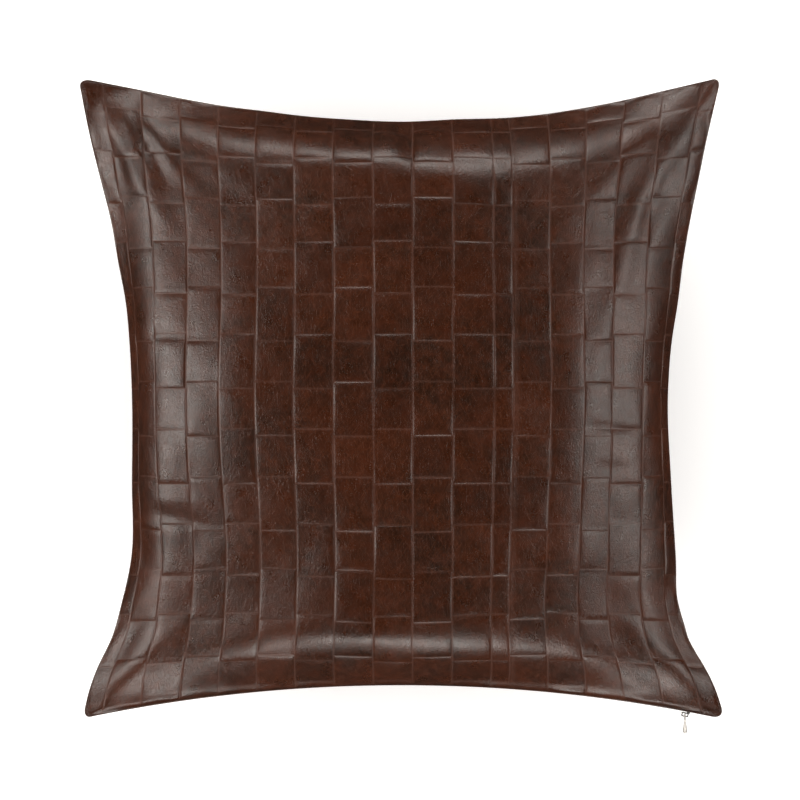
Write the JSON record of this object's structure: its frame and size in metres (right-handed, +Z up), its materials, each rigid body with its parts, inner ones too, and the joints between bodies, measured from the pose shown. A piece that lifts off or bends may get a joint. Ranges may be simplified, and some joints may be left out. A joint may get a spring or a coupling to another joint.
{
  "type": "throw pillow",
  "caption": "Square throw pillow with an embossed leather cover, pinched corners and a concealed zip in one edge, over a cotton insert.",
  "frame": {"origin": "on the surface that the pillow lies on, below the middle of the pillow", "axes": "+Z up through the embossed front as the pillow lies on its back, -Y towards the zip edge"},
  "size_m": [0.505, 0.5202, 0.152],
  "materials": {
    "leather": "semi-gloss, embossed",
    "leather_back": "semi-gloss, embossed",
    "thread": "waxed",
    "zip_tape": "woven",
    "zip_coil": "nylon coil",
    "zip_metal": "nickel plated",
    "pull_metal": "satin nickel",
    "cotton": "down-proof cotton",
    "cotton_thread": "plain",
    "filling": "fibre"
  },
  "bodies": {
    "pillow": {"front_panel": "leather", "back_panel": "leather_back", "seam_thread": "thread", "zip_tape_front": "zip_tape", "zip_tape_back": "zip_tape", "zip_coil_front": "zip_coil", "zip_coil_back": "zip_coil", "zip_stitching_front": "thread", "zip_stitching_back": "thread", "zip_top_stops": "zip_metal", "zip_bottom_stop": "zip_metal", "insert_casing_front": "cotton", "insert_casing_back": "cotton", "insert_seam_thread": "cotton_thread", "insert_fill": "filling"},
    "slider": {"zip_slider": "zip_metal"},
    "pull": {"zip_pull": "pull_metal"}
  },
  "joints": [
    {"name": "zip_travel", "type": "hinge", "parent": "pillow", "child": "slider", "pos_m": [0, -1.46613, 0.075], "axis": [0, 0, 1], "range_deg": [0, 20.55], "deforming": ["zip_coil_front", "zip_coil_back"]},
    {"name": "pull_swing", "type": "hinge", "parent": "slider", "child": "pull", "pos_m": [0.22604, -0.25288, 0.075], "axis": [0, 0, 1], "range_deg": [-90.6, 69.4]}
  ]
}
